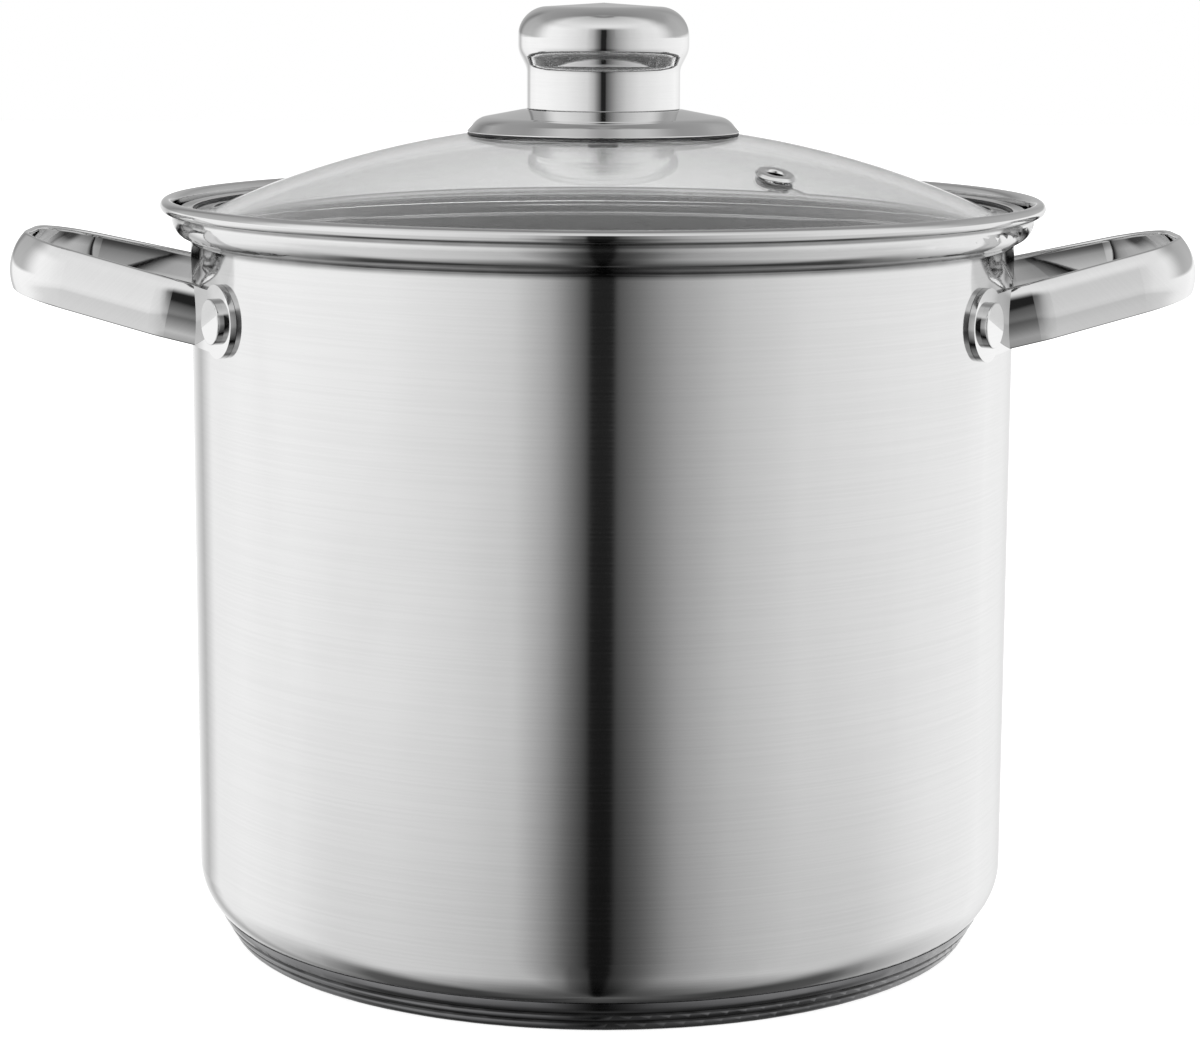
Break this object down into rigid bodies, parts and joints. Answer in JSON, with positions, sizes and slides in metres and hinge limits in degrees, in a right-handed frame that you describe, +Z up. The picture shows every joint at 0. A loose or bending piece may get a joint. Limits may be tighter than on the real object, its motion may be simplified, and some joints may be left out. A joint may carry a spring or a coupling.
{
  "type": "water bath canner",
  "caption": "Tall straight-sided steel pot with riveted loop handles, a domed glass lid with knob and steam vent, and a lift-out wire jar rack.",
  "frame": {"origin": "centre of the pot's underside, on the surface it stands on", "axes": "+Z up along the pot's axis, +X along the line through both loop handles, -Y the front, where the steam vent is right of the knob"},
  "size_m": [0.4032, 0.3003, 0.3196],
  "materials": {
    "brushed_body": "satin stainless, fine lines around the pot, polished collar and rim",
    "polished_steel": "mirror-polished stainless",
    "base_steel": "grey satin stainless, darker in the grooves",
    "core_aluminium": "plain",
    "plain_steel": "plain stainless",
    "dark_silicone": "matt",
    "clear_glass": "clear tempered glass",
    "rack_wire": "bright stainless wire"
  },
  "bodies": {
    "pot": {"pot_shell": "brushed_body", "base_core": "core_aluminium", "base_cap": "base_steel", "right_handle": "polished_steel", "left_handle": "polished_steel", "right_handle_rivets": "polished_steel", "left_handle_rivets": "polished_steel"},
    "lid": {"glass_dome": "clear_glass", "glass_edge_seal": "dark_silicone", "lid_band": "polished_steel", "knob_shell": "polished_steel", "knob_insert": "plain_steel", "knob_skirt": "polished_steel", "skirt_gasket": "dark_silicone", "knob_screw": "plain_steel", "screw_washer": "plain_steel", "glass_bushing": "dark_silicone", "vent_eyelet": "polished_steel", "vent_washer": "plain_steel"},
    "jar_rack": {"rack_ring": "rack_wire", "rack_cross_bar_1": "rack_wire", "rack_cross_bar_2": "rack_wire", "rack_deck_wire_1": "rack_wire", "rack_deck_wire_2": "rack_wire", "rack_deck_wire_3": "rack_wire", "rack_deck_wire_4": "rack_wire", "rack_deck_wire_5": "rack_wire", "rack_deck_wire_6": "rack_wire", "rack_deck_wire_7": "rack_wire", "rack_deck_wire_8": "rack_wire", "rack_deck_wire_9": "rack_wire", "rack_foot_1": "rack_wire", "rack_foot_2": "rack_wire", "rack_foot_3": "rack_wire", "rack_foot_4": "rack_wire", "rack_hinge_lug_1": "rack_wire", "rack_hinge_lug_2": "rack_wire", "rack_hinge_lug_3": "rack_wire", "rack_hinge_lug_4": "rack_wire"},
    "right_lifting_handle": {"right_rack_handle": "rack_wire"},
    "left_lifting_handle": {"left_rack_handle": "rack_wire"}
  },
  "joints": [
    {"name": "lid_lift", "type": "slide", "parent": "pot", "child": "lid", "axis": [0, 0, 1], "range_m": [0, 0.32]},
    {"name": "rack_lift", "type": "slide", "parent": "pot", "child": "jar_rack", "axis": [0, 0, 1], "range_m": [0, 0.275]},
    {"name": "right_rack_handle_fold", "type": "hinge", "parent": "jar_rack", "child": "right_lifting_handle", "pos_m": [0.11352, 0, 0.0311], "axis": [0, 1, 0], "range_deg": [0, 100]},
    {"name": "left_rack_handle_fold", "type": "hinge", "parent": "jar_rack", "child": "left_lifting_handle", "pos_m": [-0.11352, 0, 0.0311], "axis": [0, -1, 0], "range_deg": [0, 100]}
  ],
  "couplings": [
    {"joint": "rack_lift", "follows": "lid_lift", "ratio": 0.85}
  ]
}
